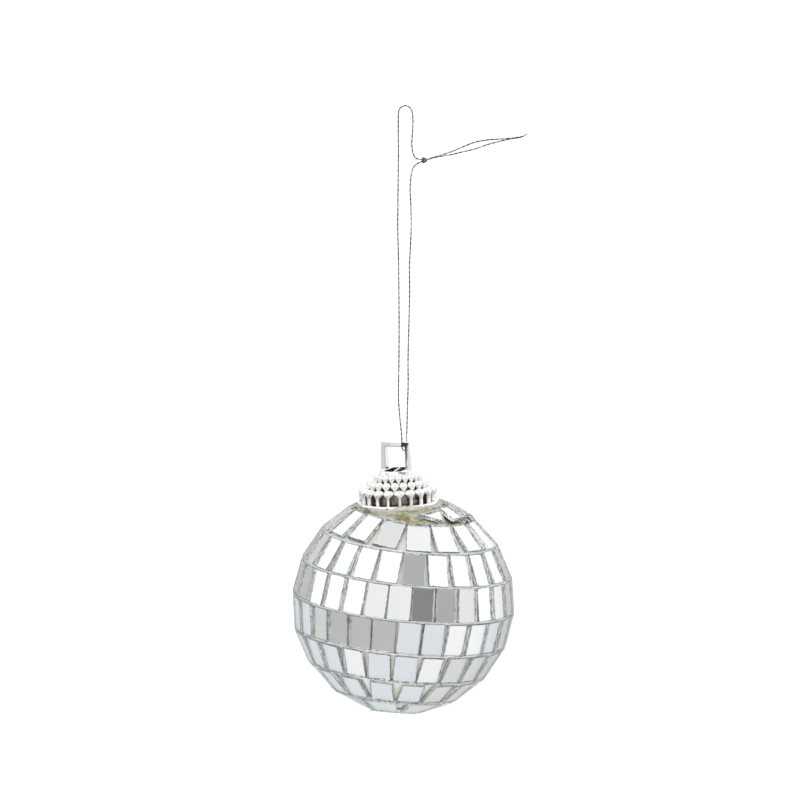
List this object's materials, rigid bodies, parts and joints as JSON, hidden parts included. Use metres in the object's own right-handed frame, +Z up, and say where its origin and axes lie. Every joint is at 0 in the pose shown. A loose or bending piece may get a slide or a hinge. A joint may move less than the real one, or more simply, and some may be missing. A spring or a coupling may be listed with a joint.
{
  "type": "mirror ball",
  "caption": "Small foam ball covered with flat mirror tiles, hanging by a knotted metallic thread loop from a beaded, plated cap with a square eye.",
  "frame": {"origin": "the crown of the hanging thread loop, where a hook or a pin holds it", "axes": "+Z up along the plumb line, -Y towards the side seen from the front, +X to the right of it"},
  "size_m": [0.0524, 0.05, 0.1374],
  "materials": {
    "mirror_glass": "silver-backed clear float glass, 1 mm, with rough snapped pale blue-green edges",
    "plated_cap": "bright vacuum-plated moulded plastic",
    "glue": "translucent yellow hot-melt adhesive, glossy",
    "backing_tape": "cream cloth tape under the tiles, matt",
    "foam": "white expanded polystyrene beads, matt",
    "metallic_thread": "two-ply silver lame thread, glittering"
  },
  "bodies": {
    "hanging_thread": {"thread_front_strand": "metallic_thread", "thread_back_strand": "metallic_thread", "thread_knot": "metallic_thread", "thread_tail_upper": "metallic_thread", "thread_tail_lower": "metallic_thread"},
    "thread_bight": {"thread_bight": "metallic_thread"},
    "ball": {"cap": "plated_cap", "glue_collar": "glue", "foam_core": "foam", "backing_tape_1": "backing_tape", "backing_tape_2": "backing_tape", "backing_tape_3": "backing_tape", "backing_tape_4": "backing_tape", "backing_tape_5": "backing_tape", "backing_tape_6": "backing_tape", "backing_tape_7": "backing_tape", "mirror_tile_1_01": "mirror_glass", "mirror_tile_1_02": "mirror_glass", "mirror_tile_1_03": "mirror_glass", "mirror_tile_1_04": "mirror_glass", "mirror_tile_1_05": "mirror_glass", "mirror_tile_1_06": "mirror_glass", "mirror_tile_1_07": "mirror_glass", "mirror_tile_1_08": "mirror_glass", "mirror_tile_1_09": "mirror_glass", "mirror_tile_1_10": "mirror_glass", "mirror_tile_1_11": "mirror_glass", "mirror_tile_1_12": "mirror_glass", "mirror_tile_1_13": "mirror_glass", "mirror_tile_1_14": "mirror_glass", "mirror_tile_1_15": "mirror_glass", "mirror_tile_1_16": "mirror_glass", "mirror_row_2": "mirror_glass", "mirror_row_3": "mirror_glass", "mirror_row_4": "mirror_glass", "mirror_row_5": "mirror_glass", "mirror_row_6": "mirror_glass", "mirror_tile_7_01": "mirror_glass", "mirror_tile_7_02": "mirror_glass", "mirror_tile_7_03": "mirror_glass", "mirror_tile_7_04": "mirror_glass", "mirror_tile_7_05": "mirror_glass", "mirror_tile_7_06": "mirror_glass", "mirror_tile_7_07": "mirror_glass", "mirror_tile_7_08": "mirror_glass", "cap_offcut_1": "mirror_glass", "cap_offcut_2": "mirror_glass", "cap_offcut_3": "mirror_glass", "cap_chip_front": "mirror_glass", "cap_chip_back": "mirror_glass", "pole_tile_left": "mirror_glass", "pole_tile_right": "mirror_glass"}
  },
  "joints": [
    {"name": "ball_spin", "type": "hinge", "parent": "hanging_thread", "child": "thread_bight", "pos_m": [0, 0, -0.0765], "axis": [0, 0, 1], "continuous": true},
    {"name": "ball_swing", "type": "hinge", "parent": "thread_bight", "child": "ball", "pos_m": [0, 0, -0.07652], "axis": [0.9053, -0.4221, 0.0474], "range_deg": [-120, 120]}
  ]
}
